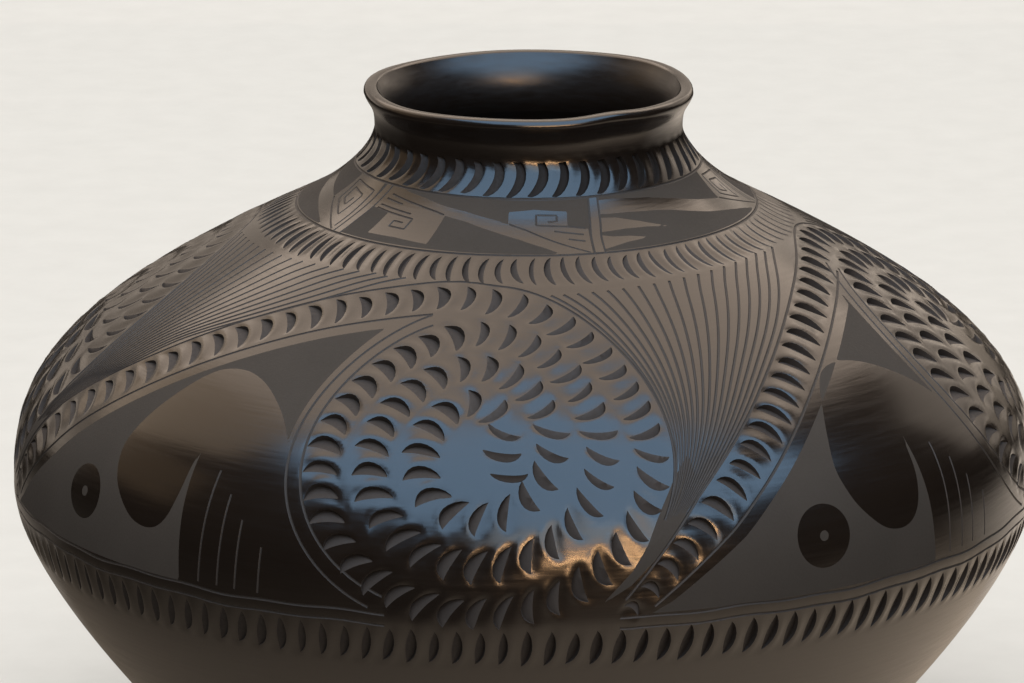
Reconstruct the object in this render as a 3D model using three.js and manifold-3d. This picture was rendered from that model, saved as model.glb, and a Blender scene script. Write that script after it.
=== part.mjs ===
// Blackware olla, coil built: a pressed base slab, wall coils, a neck coil and a lip coil.
// The courses of clay meet on slanted seams, luted with slip. Sizes are in millimetres, +Z is up,
// and the origin is the middle of the foot, on the surface that the olla stands on.
import * as THREE from 'three';
import { ConvexGeometry } from 'three/addons/geometries/ConvexGeometry.js';
import { mergeVertices } from 'three/addons/utils/BufferGeometryUtils.js';
import Module from 'manifold-3d';

const wasm = await Module();
wasm.setup();

// Outside form, from the foot up
const footRadius = 55; // flat foot
const footFlare = 25; // spread of the wall as it leaves the foot
const footLift = 12; // rise of the wall over that spread
const bellyRadius = 150; // widest part
const bellyHeight = 115; // height of the widest part
const bellyUndercurve = 28.5; // upright pull of the wall below the widest part
const bellyOvercurve = 29.5; // upright pull of the wall above it
const shoulderRadius = 67; // line where the shoulder turns up into the neck
const shoulderRise = 82; // from the widest part up to that line
const shoulderSlopeDegrees = 26.5; // slope of the clay at that line
const shoulderRun = 82; // pull of the shoulder along that slope
const neckRun = 12.5; // pull of the neck along the same slope
const waistRadius = 45; // narrowest part of the neck
const neckRise = 23; // from the shoulder line up to the narrowest part
const waistUndercurve = 7; // upright pull of the neck below its narrowest part
const waistOvercurve = 6.5; // upright pull of the lip above it
const lipRadius = 46; // middle of the rounded lip
const lipRise = 12; // from the narrowest part up to the top of the lip
const lipUndercurve = 2.5; // upright pull below the rounded edge

// Clay
const bodyWall = 6;
const lipThickness = 4.2;
const floorThickness = 6.5; // at the middle of the base
const slabRise = 30; // how far the base slab is pressed up the wall
const wallCoils = 6; // courses between the slab and the neck
const seamSlant = 4; // how far each seam drops on its way in through the wall
const slipFilm = 0.2; // slip between one course and the next

// Carved ornament: four ribs rise from the belly and each winds into a spiral, as a row of gouge marks.
// Its places are measured round the belly and up the wall from the middle of a spiral.
const spirals = 4;
const firstSpiralDegrees = -6; // round from the front
const spiralRise = 49.5; // up the wall from the widest part to a spiral's middle
const spiralReach = 59.2; // out to the outermost turn, sideways
const spiralReachStep = 15.7; // drawn in by each turn, sideways
const spiralHeight = 54.3; // out to the outermost turn, upwards
const spiralHeightStep = 13.2; // drawn in by each turn, upwards
const spiralTurns = 3.25;
const spiralTail = [[9, -7.5], [16, -15.5]]; // the inner end runs straight down
const rib = [[-190, -47], [-152, -9], [-116, 21], [-77, 41], [-30, 53]]; // from its foot on the belly
const ribBows = [3, -4, 1, -2]; // how far each rib bows up at its middle, as drawn by hand
const markLength = 10.8; // across the row
const markFront = 2.3; // from the row's line to the steep front of a mark
const markTip = -2.2; // from that line to a mark's two tips
const markFlat = 5; // length of the front between its two corners
const markFrontWall = 0.4; // the deepest point lies this far behind the front
const markDepth = 1.7;
const markSpacing = 7.4;
// Degrees clockwise from the top of the spiral, and degrees that a mark there turns from square across the row
const markLeans = [[0, 5], [55, 5], [68, 24], [88, 24], [96, -23], [200, -22], [270, -13], [320, 0], [360, 5]];
const leanAdvanceDegrees = 9; // how much sooner the marks lean over on each further turn
const cutClearance = 1; // height that a cutting solid stands out of the wall

// Smoothness
const sides = 56; // flats round the vessel
const courseSteps = 4; // straight steps up a course
const lipSteps = 6; // straight steps over the rounded lip
const pathSteps = 40; // straight steps in each turn of a spiral, and in its rib

const at = (radius, height) => new THREE.Vector2(radius, height);

// Landmarks of the outline, as radius and height
const foot = at(footRadius, 0);
const belly = at(bellyRadius, bellyHeight);
const shoulder = at(shoulderRadius, bellyHeight + shoulderRise);
const waist = at(waistRadius, shoulder.y + neckRise);
const lipCentre = at(lipRadius, waist.y + lipRise - lipThickness / 2);
const lipEdge = at(lipCentre.x + lipThickness / 2, lipCentre.y);

// Point that lies down the shoulder's slope from the shoulder line, or up it where the run is negative
function alongShoulder(run) {
  const slope = THREE.MathUtils.degToRad(shoulderSlopeDegrees);
  return at(shoulder.x + run * Math.cos(slope), shoulder.y - run * Math.sin(slope));
}

// The outline in four smooth stretches, which share their direction where they meet
const lowerWall = new THREE.CubicBezierCurve(
  foot, at(footRadius + footFlare, footLift), at(bellyRadius, bellyHeight - bellyUndercurve), belly,
);
const upperWall = new THREE.CubicBezierCurve(
  belly, at(bellyRadius, bellyHeight + bellyOvercurve), alongShoulder(shoulderRun), shoulder,
);
const neck = new THREE.CubicBezierCurve(
  shoulder, alongShoulder(-neckRun), at(waistRadius, waist.y - waistUndercurve), waist,
);
const flare = new THREE.CubicBezierCurve(
  waist, at(waistRadius, waist.y + waistOvercurve), at(lipEdge.x, lipEdge.y - lipUndercurve), lipEdge,
);
const outline = new THREE.CurvePath();
for (const stretch of [lowerWall, upperWall, neck, flare]) outline.add(stretch);

// Lengths up the outside of the wall, from the edge of the foot
const bellyLength = lowerWall.getLength();
const shoulderLength = bellyLength + upperWall.getLength();
const waistLength = shoulderLength + neck.getLength();
const lipLength = outline.getLength();

// The wall thins evenly from the shoulder line to the lip
function thicknessAt(length) {
  const upNeck = THREE.MathUtils.clamp((length - shoulderLength) / (lipLength - shoulderLength), 0, 1);
  return THREE.MathUtils.lerp(bodyWall, lipThickness, upNeck);
}

function outsideAt(length) {
  return outline.getPoint(length / lipLength);
}

function insideAt(length) {
  const up = outline.getTangent(length / lipLength);
  return outsideAt(length).add(at(-up.y, up.x).multiplyScalar(thicknessAt(length)));
}

// Points up or down one side of the wall, between two lengths
function side(pointAt, from, to) {
  const points = [];
  for (let step = 0; step <= courseSteps; step += 1) {
    points.push(pointAt(THREE.MathUtils.lerp(from, to, step / courseSteps)));
  }
  return points;
}

// Section of the disc of clay pressed out for the base, from the axis round to the axis again
function slabSection(seam) {
  const top = seam - slipFilm / 2;
  const wall = [...side(outsideAt, 0, top), ...side(insideAt, top - seamSlant, 0)];
  return [at(0, 0), ...wall, at(0, floorThickness)];
}

// Section of a coil between two seams, closed on itself
function coilSection(lowerSeam, upperSeam) {
  const bottom = lowerSeam + slipFilm / 2;
  const top = upperSeam - slipFilm / 2;
  const wall = [...side(outsideAt, bottom, top), ...side(insideAt, top - seamSlant, bottom - seamSlant)];
  return [...wall, wall[0]];
}

// Section of the last coil, which is rounded over to make the lip
function lipSection(lowerSeam) {
  const bottom = lowerSeam + slipFilm / 2;
  const crown = [];
  for (let step = 1; step < lipSteps; step += 1) {
    const turn = (Math.PI * step) / lipSteps;
    const reach = at(Math.cos(turn), Math.sin(turn)).multiplyScalar(lipThickness / 2);
    crown.push(lipCentre.clone().add(reach));
  }
  const wall = [
    ...side(outsideAt, bottom, lipLength), ...crown, ...side(insideAt, lipLength, bottom - seamSlant),
  ];
  return [...wall, wall[0]];
}

// Route of one rib and its spiral, as steps sideways, upwards and round the spiral
function spiralRoute(bow) {
  const wound = [];
  for (let step = 0; step <= spiralTurns * pathSteps; step += 1) {
    const turns = step / pathSteps;
    const turn = 2 * Math.PI * turns;
    const across = (spiralReach - spiralReachStep * turns) * Math.sin(turn);
    const up = (spiralHeight - spiralHeightStep * turns) * Math.cos(turn);
    wound.push({ at: at(across, up), turn });
  }
  const bowed = rib.map(([across, up], i) => at(across, up + bow * Math.sin((Math.PI * i) / rib.length)));
  const [spiralStart, , spiralOnward] = wound; // the rib runs smoothly from the one to the other
  const lead = new THREE.SplineCurve([...bowed, spiralStart.at, spiralOnward.at]);
  const leadShare = bowed.length / (bowed.length + 1);
  const risen = [];
  for (let step = 0; step < pathSteps; step += 1) {
    risen.push({ at: lead.getPoint((leadShare * step) / pathSteps), turn: 0 });
  }
  const last = wound[wound.length - 1];
  const tail = spiralTail.map(([across, up]) => ({ at: at(across, up), turn: last.turn }));
  return [...risen, ...wound, ...tail];
}

// A place on the wall, from an angle round from the front and a length up the outside
function wallPoint(angle, length) {
  const outside = outsideAt(length);
  return new THREE.Vector3(outside.x * Math.sin(angle), -outside.x * Math.cos(angle), outside.y);
}

// Angle that a mark turns from square across its row
function leanAt(turn) {
  const turns = turn / (2 * Math.PI);
  const round = Math.min((turns % 1) * 360 + leanAdvanceDegrees * Math.floor(turns), 360);
  const next = Math.max(markLeans.findIndex(([degrees]) => degrees >= round), 1);
  const [from, lower] = markLeans[next - 1];
  const [to, upper] = markLeans[next];
  return THREE.MathUtils.degToRad(THREE.MathUtils.mapLinear(round, from, to, lower, upper));
}

// Frame of a mark: x along its row, y across it and z out of the wall, turned by the mark's lean
function markFrame(angle, length, way, turn) {
  const slope = outline.getTangent(length / lipLength);
  const round = new THREE.Vector3(Math.cos(angle), Math.sin(angle), 0);
  const up = new THREE.Vector3(slope.x * Math.sin(angle), -slope.x * Math.cos(angle), slope.y);
  const out = round.cross(up);
  const along = way.projectOnPlane(out).normalize();
  const frame = new THREE.Matrix4().makeBasis(along, out.clone().cross(along), out);
  const lean = new THREE.Matrix4().makeRotationZ(leanAt(turn));
  return frame.setPosition(wallPoint(angle, length)).multiply(lean);
}

// Places and frames of the marks, evenly spaced along one rib and its spiral
function markRow(number) {
  const middle = THREE.MathUtils.degToRad(firstSpiralDegrees) + (2 * Math.PI * number) / spirals;
  const places = spiralRoute(ribBows[number % ribBows.length]).map((step) => {
    const angle = middle + step.at.x / bellyRadius;
    const length = bellyLength + spiralRise + step.at.y;
    return { angle, length, turn: step.turn, point: wallPoint(angle, length) };
  });
  const runs = [0];
  for (let i = 1; i < places.length; i += 1) {
    runs.push(runs[i - 1] + places[i].point.distanceTo(places[i - 1].point));
  }
  const whole = runs[runs.length - 1];
  const gaps = Math.floor(whole / markSpacing);
  const row = [];
  let i = 0;
  for (let mark = 0; mark <= gaps; mark += 1) {
    const run = (whole * mark) / gaps;
    while (i < places.length - 2 && runs[i + 1] < run) i += 1;
    const share = (run - runs[i]) / (runs[i + 1] - runs[i]);
    const angle = THREE.MathUtils.lerp(places[i].angle, places[i + 1].angle, share);
    const length = THREE.MathUtils.lerp(places[i].length, places[i + 1].length, share);
    const way = places[i + 1].point.clone().sub(places[i].point);
    row.push({ length, frame: markFrame(angle, length, way, places[i].turn) });
  }
  return row;
}

// What one push of the gouge takes away: a four-sided point, wider above the wall
function markCutter() {
  const deepest = new THREE.Vector3(markFront - markFrontWall, 0, -markDepth);
  const rim = [
    [markTip, markLength / 2], [markFront, markFlat / 2], [markFront, -markFlat / 2], [markTip, -markLength / 2],
  ];
  const top = rim.map(([x, y]) => new THREE.Vector3(x, y, 0).lerp(deepest, -cutClearance / markDepth));
  return new ConvexGeometry([deepest, ...top]);
}

// A closed geometry as a solid that can be cut, and back again
function solid(geometry) {
  const bare = geometry.clone();
  bare.deleteAttribute('normal');
  bare.deleteAttribute('uv');
  const merged = mergeVertices(bare);
  const vertProperties = merged.attributes.position.array;
  const triVerts = new Uint32Array(merged.index.array);
  return new wasm.Manifold(new wasm.Mesh({ numProp: 3, vertProperties, triVerts }));
}

function geometryOf(cut) {
  const { vertProperties, triVerts } = cut.getMesh();
  const geometry = new THREE.BufferGeometry();
  geometry.setAttribute('position', new THREE.BufferAttribute(vertProperties, 3));
  geometry.setIndex(new THREE.BufferAttribute(triVerts, 1));
  geometry.computeVertexNormals();
  return geometry;
}

const cutter = markCutter();
const marks = [];
for (let number = 0; number < spirals; number += 1) {
  for (const { length, frame } of markRow(number)) {
    marks.push({ length, solid: solid(cutter.clone().applyMatrix4(frame)) });
  }
}

// One ring of clay, turned about the vessel's upright axis
function ring(section) {
  return new THREE.LatheGeometry(section, sides).rotateX(Math.PI / 2);
}

// The same ring with the marks that reach it cut out
function carvedRing(section, lowerSeam, upperSeam) {
  const near = marks.filter(({ length }) => length > lowerSeam - markLength && length < upperSeam + markLength);
  if (near.length === 0) return ring(section);
  return geometryOf(near.reduce((clay, mark) => clay.subtract(mark.solid), solid(ring(section))));
}

function course(name, geometry, clay) {
  const mesh = new THREE.Mesh(geometry, new THREE.MeshStandardMaterial(clay));
  mesh.name = name;
  return mesh;
}

const burnishedBlack = { color: '#2b2622', roughness: 0.24, metalness: 0, flatShading: true };
const smokedFoot = { color: '#35302c', roughness: 0.5, metalness: 0, flatShading: true };

const olla = new THREE.Group();
olla.add(course('base_slab', ring(slabSection(slabRise)), smokedFoot));
const coilRise = (shoulderLength - slabRise) / wallCoils;
for (let coil = 1; coil <= wallCoils; coil += 1) {
  const upperSeam = slabRise + coil * coilRise;
  const lowerSeam = upperSeam - coilRise;
  const carved = carvedRing(coilSection(lowerSeam, upperSeam), lowerSeam, upperSeam);
  olla.add(course(`wall_coil_${coil}`, carved, burnishedBlack));
}
olla.add(course('neck_coil', ring(coilSection(shoulderLength, waistLength)), burnishedBlack));
olla.add(course('lip_coil', ring(lipSection(waistLength)), burnishedBlack));

export default olla;
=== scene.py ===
import math
import bpy
import numpy as np
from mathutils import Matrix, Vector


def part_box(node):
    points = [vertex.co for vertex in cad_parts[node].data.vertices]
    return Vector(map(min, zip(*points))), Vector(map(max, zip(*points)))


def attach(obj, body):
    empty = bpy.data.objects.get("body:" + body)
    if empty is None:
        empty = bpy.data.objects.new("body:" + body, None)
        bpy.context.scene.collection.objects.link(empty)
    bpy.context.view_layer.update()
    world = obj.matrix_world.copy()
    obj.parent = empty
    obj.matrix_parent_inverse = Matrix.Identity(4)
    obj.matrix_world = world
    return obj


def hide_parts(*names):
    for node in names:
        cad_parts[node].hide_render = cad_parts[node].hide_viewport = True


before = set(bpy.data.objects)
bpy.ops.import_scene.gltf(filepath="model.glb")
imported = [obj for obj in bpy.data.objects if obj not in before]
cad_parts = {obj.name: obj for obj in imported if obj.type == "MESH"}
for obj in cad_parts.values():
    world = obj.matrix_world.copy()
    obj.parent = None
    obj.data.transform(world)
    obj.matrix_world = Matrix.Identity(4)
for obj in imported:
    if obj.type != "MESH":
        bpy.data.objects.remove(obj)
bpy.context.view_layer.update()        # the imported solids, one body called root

mm = 0.001


# Small helpers for nodes, colours and plain meshes

def linear(code):  # sRGB hex to linear RGBA
    parts = [int(code[i:i + 2], 16) / 255 for i in (1, 3, 5)]
    return [c / 12.92 if c <= 0.04045 else ((c + 0.055) / 1.055) ** 2.4 for c in parts] + [1.0]


def addNode(tree, kind, links=None, **settings):  # links: socket name or number to a value or an output
    node = tree.nodes.new(kind)
    for name, value in settings.items():
        setattr(node, name, value)
    for key, value in (links or {}).items():
        if isinstance(value, bpy.types.NodeSocket):
            tree.links.new(value, node.inputs[key])
        else:
            node.inputs[key].default_value = value
    return node


def meshObject(name, verts, faces=(), edges=(), materials=()):
    mesh = bpy.data.meshes.new(name)
    mesh.from_pydata(np.asarray(verts, float).tolist(), edges, faces)
    for material in materials:
        mesh.materials.append(material)
    obj = bpy.data.objects.new(name, mesh)
    bpy.context.scene.collection.objects.link(obj)
    return obj


def plainResult(obj):  # what the modifiers make becomes the object's own mesh
    graph = bpy.context.evaluated_depsgraph_get()
    mesh = bpy.data.meshes.new_from_object(obj.evaluated_get(graph), depsgraph=graph)
    obj.modifiers.clear()
    old = obj.data
    obj.data = mesh
    bpy.data.meshes.remove(old)


def readAll(items, field, width=1, kind=np.float32):  # one array from a mesh's points, corners or faces
    values = np.empty(len(items) * width, kind)
    items.foreach_get(field, values)
    return values.reshape(-1, width) if width > 1 else values


def discard(obj):
    mesh = obj.data
    bpy.data.objects.remove(obj)
    bpy.data.meshes.remove(mesh)


# Camera at the photograph's angle, a little above the shoulder and far off

viewpoint = {"lens": 228.5, "sensor": 36.0, "place": (0.0, -1.8432, 0.6328), "tilt": math.pi / 2 - 0.254,
             "turn": 0.002}
cameraData = bpy.data.cameras.new("viewCamera")
cameraData.lens = viewpoint["lens"]
cameraData.sensor_width = viewpoint["sensor"]
camera = bpy.data.objects.new("viewCamera", cameraData)
camera.location = viewpoint["place"]
camera.rotation_euler = (viewpoint["tilt"], 0.0, viewpoint["turn"])
bpy.context.scene.collection.objects.link(camera)
bpy.context.scene.camera = camera
bpy.context.scene.view_settings.view_transform = "Standard"


# Materials

clay = {  # each pair is the two colours that a soft cloud mixes
    "polished": ("#15110e", "#1f1813"), "scraped": ("#37332f", "#3f3a36"), "toolCut": ("#2c2724", "#38322e"),
    # the deep cut colours are a darker copy of the tool cut ones: painted shade for marks that lie in shadow
    "paintedShadeDeepCut": ("#1a1613", "#241f1c"), "incised": ("#2c2724", "#34302d"), "inside": ("#2c2724", "#1d1814"),
    "foot": ("#2c2724", "#2b2622"), "strokeMm": 1.1, "strokeLengthMm": 16.0, "cloudMm": 45.0, "patchMm": 18.0,
    "grainSpan": (0.3, 0.7), "polishIor": 1.52, "bareIor": 1.5,
    "strokeBump": (0.3, 0.00008), "gritBump": (0.4, 0.00012),  # strength, and depth in m
}


def startFinish(name, ior):  # a bare shader, its tree and the piece's own coordinates
    material = bpy.data.materials.new(name)
    material.use_nodes = True
    tree = material.node_tree
    tree.nodes.clear()
    shader = addNode(tree, "ShaderNodeBsdfPrincipled", {"IOR": ior})
    addNode(tree, "ShaderNodeOutputMaterial", {0: shader.outputs[0]})
    return material, tree, shader, addNode(tree, "ShaderNodeTexCoord").outputs["Object"]


def layFinish(tree, shader, cloud, colours, grain, rough, bump):  # colour by the cloud, the rest by the grain
    first, second = (linear(code) for code in colours)
    low, high = clay["grainSpan"]
    mixed = addNode(tree, "ShaderNodeMix", {0: cloud, 6: first, 7: second}, data_type="RGBA")
    sheen = addNode(tree, "ShaderNodeMapRange", {0: grain, 1: low, 2: high, 3: rough[0], 4: rough[1]})
    raised = addNode(tree, "ShaderNodeBump", {"Height": grain, "Strength": bump[0], "Distance": bump[1]})
    tree.links.new(mixed.outputs[2], shader.inputs["Base Color"])
    tree.links.new(sheen.outputs[0], shader.inputs["Roughness"])
    tree.links.new(raised.outputs[0], shader.inputs["Normal"])


def blackware(name, rough):  # reduction-fired clay with the strokes of the burnishing stone round the wall
    material, tree, shader, place = startFinish(name, clay["polishIor"])
    cloud = addNode(tree, "ShaderNodeTexNoise",
                    {"Vector": place, "Scale": 1000 / clay["cloudMm"], "Detail": 4.0})
    wall = addNode(tree, "ShaderNodeAttribute", attribute_name="wall")  # mm round and up the wall, no seam
    strokeSize = (1 / clay["strokeLengthMm"], 1 / clay["strokeLengthMm"], 1 / clay["strokeMm"])
    along = addNode(tree, "ShaderNodeMapping", {"Vector": wall.outputs["Vector"], "Scale": strokeSize})
    stroke = addNode(tree, "ShaderNodeTexNoise", {"Vector": along.outputs[0], "Scale": 1.0, "Detail": 3.0})
    layFinish(tree, shader, cloud.outputs[0], clay["polished"], stroke.outputs[0], rough, clay["strokeBump"])
    return material


def bareClay(name, colours, rough, gritMm, shine=0.25):  # clay with no polish, its fine grit showing
    material, tree, shader, place = startFinish(name, clay["bareIor"])
    shader.inputs["Specular IOR Level"].default_value = shine
    grit = addNode(tree, "ShaderNodeTexNoise", {"Vector": place, "Scale": 1000 / gritMm, "Detail": 3.0})
    patch = addNode(tree, "ShaderNodeTexNoise",
                    {"Vector": place, "Scale": 1000 / clay["patchMm"], "Detail": 3.0})
    layFinish(tree, shader, patch.outputs[0], colours, grit.outputs[0], rough, clay["gritBump"])
    return material


finishes = {  # in the order of the slots on every course
    # stone polished before firing: near black, with a soft-edged wet sheen
    "burnished": blackware("burnishedBlackware", (0.18, 0.25)),
    # cut while leather hard: dull grey, a little grit dragged by the tool
    "gouged": bareClay("toolCutBlackware", clay["toolCut"], (0.6, 0.8), 0.9),
    # drawn with a stylus: thin grey lines through the polish
    "incised": bareClay("incisedBlackware", clay["incised"], (0.5, 0.65), 0.6),
    # smoked but never polished: dark, coarse and dull
    "interior": bareClay("smokedInterior", clay["inside"], (0.5, 0.7), 1.4),
    # the foot, rubbed where it stands: plain dark grey
    "standing": bareClay("smokedFootClay", clay["foot"], (0.5, 0.7), 1.2),
    # polish scraped off: an even matte grey with almost no shine
    "scraped": bareClay("scrapedBlackware", clay["scraped"], (0.62, 0.8), 0.7, 0.08),
    # cut deep: darker than the other marks, the darker colour is painted shade for marks that lie in shadow
    "paintedShadeDeepCut": bareClay("paintedShadeDeepCutBlackware", clay["paintedShadeDeepCut"], (0.55, 0.75), 0.9),
    # wiped with a wet hand inside the mouth: a blurred sheen
    "wiped": blackware("wipedBlackware", (0.3, 0.42)),
}
finishSlot = {name: number for number, name in enumerate(finishes)}
print("finishes made:", len(finishes))


# The vessel's outside, drawn with the same handles as the solids, in mm
# A place on the wall is an angle in degrees (0 faces the camera) and a length up the outside from the foot

vessel = {
    "footRadius": 55.0, "footFlare": 25.0, "footLift": 12.0, "footEdge": 1.2, "footRings": (46.0, 30.0),
    "bellyRadius": 150.0, "bellyHeight": 115.0, "bellyUndercurve": 28.5, "bellyOvercurve": 29.5,
    "shoulderRadius": 67.0, "shoulderRise": 82.0, "shoulderSlope": 26.5, "shoulderRun": 82.0,
    "neckRun": 12.5, "neckRise": 23.0, "waistRadius": 45.0, "waistUndercurve": 7.0, "waistOvercurve": 6.5,
    "lipRadius": 46.0, "lipUndercurve": 3.4, "lipFlare": 1.3, "lipThickness": 4.2, "lipRound": (0.8, 0.85),
    "bodyWall": 6.0, "floorThickness": 6.5, "slabRise": 30.0, "wallCoils": 6, "seamSlant": 4.0,
    "curveSteps": 400, "crownSteps": 15, "columns": 1200,
}
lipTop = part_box("lip_coil")[1].z / mm


def bezier(a, b, c, d):
    t = np.linspace(0, 1, vessel["curveSteps"])[:, None]
    a, b, c, d = (np.array(p, float) for p in (a, b, c, d))
    return (1 - t) ** 3 * a + 3 * (1 - t) ** 2 * t * b + 3 * (1 - t) * t ** 2 * c + t ** 3 * d


def runLength(points):  # length from the start to each point
    return np.concatenate([[0], np.cumsum(np.hypot(*np.diff(points, axis=0).T))])


def drawOutline(v):
    slope = math.radians(v["shoulderSlope"])
    lean = np.array([math.cos(slope), -math.sin(slope)])
    foot = np.array([v["footRadius"], 0.0])
    belly = np.array([v["bellyRadius"], v["bellyHeight"]])
    shoulder = np.array([v["shoulderRadius"], v["bellyHeight"] + v["shoulderRise"]])
    waist = np.array([v["waistRadius"], shoulder[1] + v["neckRise"]])
    edge = np.array([v["lipRadius"] + v["lipThickness"] / 2, lipTop - v["lipThickness"] / 2])
    flareIn = np.array([v["lipFlare"], v["lipUndercurve"]])
    up = np.array([0.0, 1.0])
    lower = bezier(foot, foot + (v["footFlare"], v["footLift"]), belly - up * v["bellyUndercurve"], belly)
    upper = bezier(belly, belly + up * v["bellyOvercurve"], shoulder + lean * v["shoulderRun"], shoulder)
    neck = bezier(shoulder, shoulder - lean * v["neckRun"], waist - up * v["waistUndercurve"], waist)
    flare = bezier(waist, waist + up * v["waistOvercurve"], edge - flareIn, edge)
    parts = [lower, upper[1:], neck[1:], flare[1:]]
    points = np.vstack(parts)
    lengths = runLength(points)
    return points, lengths, lengths[np.cumsum([len(p) for p in parts]) - 1]


outline, outlineLength, landmarks = drawOutline(vessel)
outlineTangent = np.gradient(outline, outlineLength, axis=0)
outlineTangent /= np.hypot(*outlineTangent.T)[:, None]
bellyLength, shoulderLength, waistLength, lipLength = landmarks


def outlineAt(length):  # radius, height and tangent
    parts = (outline[:, 0], outline[:, 1], outlineTangent[:, 0], outlineTangent[:, 1])
    return [np.interp(length, outlineLength, part) for part in parts]


def radiusAt(length):
    return np.interp(length, outlineLength, outline[:, 0])


handwork = {  # mm, the small unevenness of a vessel built without a wheel; a wave is count, start, size
    "swells": [(2, 0.7, 0.35), (3, -1.1, 0.22)], "calmHeight": 60.0, "calmRadius": 50.0,
    "lipTilt": 0.45, "lipWaves": [(3, -0.8, 0.3), (5, 2.0, 0.18)], "lipDrop": 0.5, "lipZone": (298.0, 20.0),
    "kink": 0.7, "kinkAngle": 30.0, "kinkWidth": 11.0, "neckShift": 1.3, "neckZone": (235.0, 75.0),
}


def waves(turn, rows, shape=np.cos):  # their sum at each turn round the vessel
    return sum(size * shape(count * turn + start) for count, start, size in rows)


def easeIn(length, zone):  # 0 below the zone's start, 1 past its run
    share = np.clip((length - zone[0]) / zone[1], 0, 1)
    return share * share * (3 - 2 * share)


def handBuilt(radius, height, angle, length):
    h = handwork
    a = np.radians(angle)
    kink = h["kink"] * np.exp(-((angle - h["kinkAngle"]) / h["kinkWidth"]) ** 2)
    lip = waves(a, h["lipWaves"]) - h["lipTilt"] * np.cos(a) + kink - h["lipDrop"]
    calm = np.clip(height / h["calmHeight"], 0, 1) * np.clip(radius / h["calmRadius"], 0, 1)
    radius = radius + waves(a, h["swells"]) * calm
    shift = h["neckShift"] * easeIn(length, h["neckZone"])
    rise = lip * easeIn(length, h["lipZone"])
    return np.stack([radius * np.sin(a) + shift, -radius * np.cos(a), height + rise], -1)


def wallPoint(angle, length, lift=0.0):
    angle, length = np.broadcast_arrays(np.asarray(angle, float), np.asarray(length, float))
    r, z, tr, tz = outlineAt(length)
    return handBuilt(r + lift * tz, z - lift * tr, angle, length)


def wallFrame(angle, length):  # unit vectors round, up and out of the wall
    tr, tz = outlineAt(length)[2:]
    a = np.radians(angle)
    around = np.stack([np.cos(a), np.sin(a), 0 * a], -1)
    upward = np.stack([tr * np.sin(a), -tr * np.cos(a), tz], -1)
    return around, upward, np.cross(around, upward)


print("outline drawn, wall lengths", np.round(landmarks, 1))


# Lines laid out on the wall

medallion = {  # the row's route in mm, round the belly and up the wall from the medallion's middle
    "angle": -6.0, "rise": 49.5, "repeats": 4, "reach": 59.2, "reachStep": 15.7, "height": 54.3,
    "heightStep": 13.2, "turns": 3.25, "steps": 120, "tail": [(9.0, -7.5), (16.0, -15.5)],
    "leadSteps": 12, "joinStep": 6,
    "rib": [(-190, -47), (-152, -9), (-116, 21), (-77, 41), (-30, 53)], "bow": [3.0, -4.0, 1.0, -2.0],
    "leans": [(0, 5), (55, 5), (68, 24), (88, 24), (96, -23), (200, -22), (270, -13), (320, 0), (360, 5)],
    "leanAdvance": 9.0, "taper": [(0, 0.5), (36, 1.0)],
    "widths": [(0, 0.85), (60, 0.76), (150, 0.85), (230, 1.0), (320, 1.0), (360, 0.85)],
    "ribBorderUp": 6.6, "ribBorderDown": -7.0, "ribBorderTip": -10.0, "ribBorderLow": 154.0,
    "borderEnd": 117.0, "leftBorder": 59.0, "leftBorderGap": 4.6, "leftBorderPinch": 4.0,
    "leftBorderTurn": (330, 208), "leftBorderLow": 153.6, "arcSteps": 60, "pinchTurn": 60.0,
}
medallionLength = bellyLength + medallion["rise"]
degreeMm = math.radians(1) * vessel["bellyRadius"]
sector = 360 / medallion["repeats"]


def smoothPath(points, steps=12):  # a curve through the points
    p = np.array(points, float)
    p = np.vstack([2 * p[0] - p[1], p, 2 * p[-1] - p[-2]])
    t = np.linspace(0, 1, steps, endpoint=False)[:, None]
    rows = []
    for a, b, c, d in zip(p[:-3], p[1:-2], p[2:-1], p[3:]):
        rows.append(0.5 * (2 * b + (c - a) * t + (2 * a - 5 * b + 4 * c - d) * t ** 2
                           + (3 * b - a - 3 * c + d) * t ** 3))
    return np.vstack(rows + [p[-2:-1]])


def wallRun(path):  # mm along the wall itself from the start to each point
    r = radiusAt(path[:, 1])
    middle = (r[1:] + r[:-1]) / 2
    step = np.hypot(np.radians(np.diff(path[:, 0])) * middle, np.diff(path[:, 1]))
    return np.concatenate([[0], np.cumsum(step)])


def sideStep(path, distance):  # the path moved to its left along the wall
    r = radiusAt(path[:, 1]) * math.pi / 180
    way = np.gradient(path, axis=0) * np.stack([r, np.ones_like(r)], -1)
    way /= np.hypot(*way.T)[:, None]
    return path + np.stack([-way[:, 1] / r, way[:, 0]], -1) * np.reshape(distance, (-1, 1))


def ribTaper(path):  # the rib starts narrow at the belly
    return np.interp(wallRun(path), *zip(*medallion["taper"]))


def spiralPath(k):  # the rib comes up from the belly and winds into its medallion
    m = medallion
    turns = np.arange(0, m["turns"] * m["steps"] + 1) / m["steps"]
    turn = 2 * math.pi * turns
    wound = np.stack([(m["reach"] - m["reachStep"] * turns) * np.sin(turn),
                      (m["height"] - m["heightStep"] * turns) * np.cos(turn)], -1)
    rib = np.array(m["rib"], float)
    rib[:, 1] += m["bow"][k] * np.sin(math.pi * np.arange(len(rib)) / len(rib))
    join = np.vstack([rib, wound[[0, m["joinStep"]]]])
    lead = smoothPath(join, m["leadSteps"])[:m["leadSteps"] * len(rib)]
    path = np.vstack([lead, wound, m["tail"]])
    path = path / (degreeMm, 1) + (m["angle"] + sector * k, medallionLength)
    turns = np.concatenate([0 * lead[:, 0], turns, np.full(len(m["tail"]), turns[-1])])
    degrees = np.minimum(turns % 1 * 360 + m["leanAdvance"] * np.floor(turns), 360)
    lean = np.radians(np.interp(degrees, *zip(*m["leans"])))
    width = np.interp(turns % 1 * 360, *zip(*m["widths"]))
    width[-1] = 0.0  # the last mark is left out, it would run into the turn outside it
    return path, len(lead), lean, width, ribTaper(path)


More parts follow.
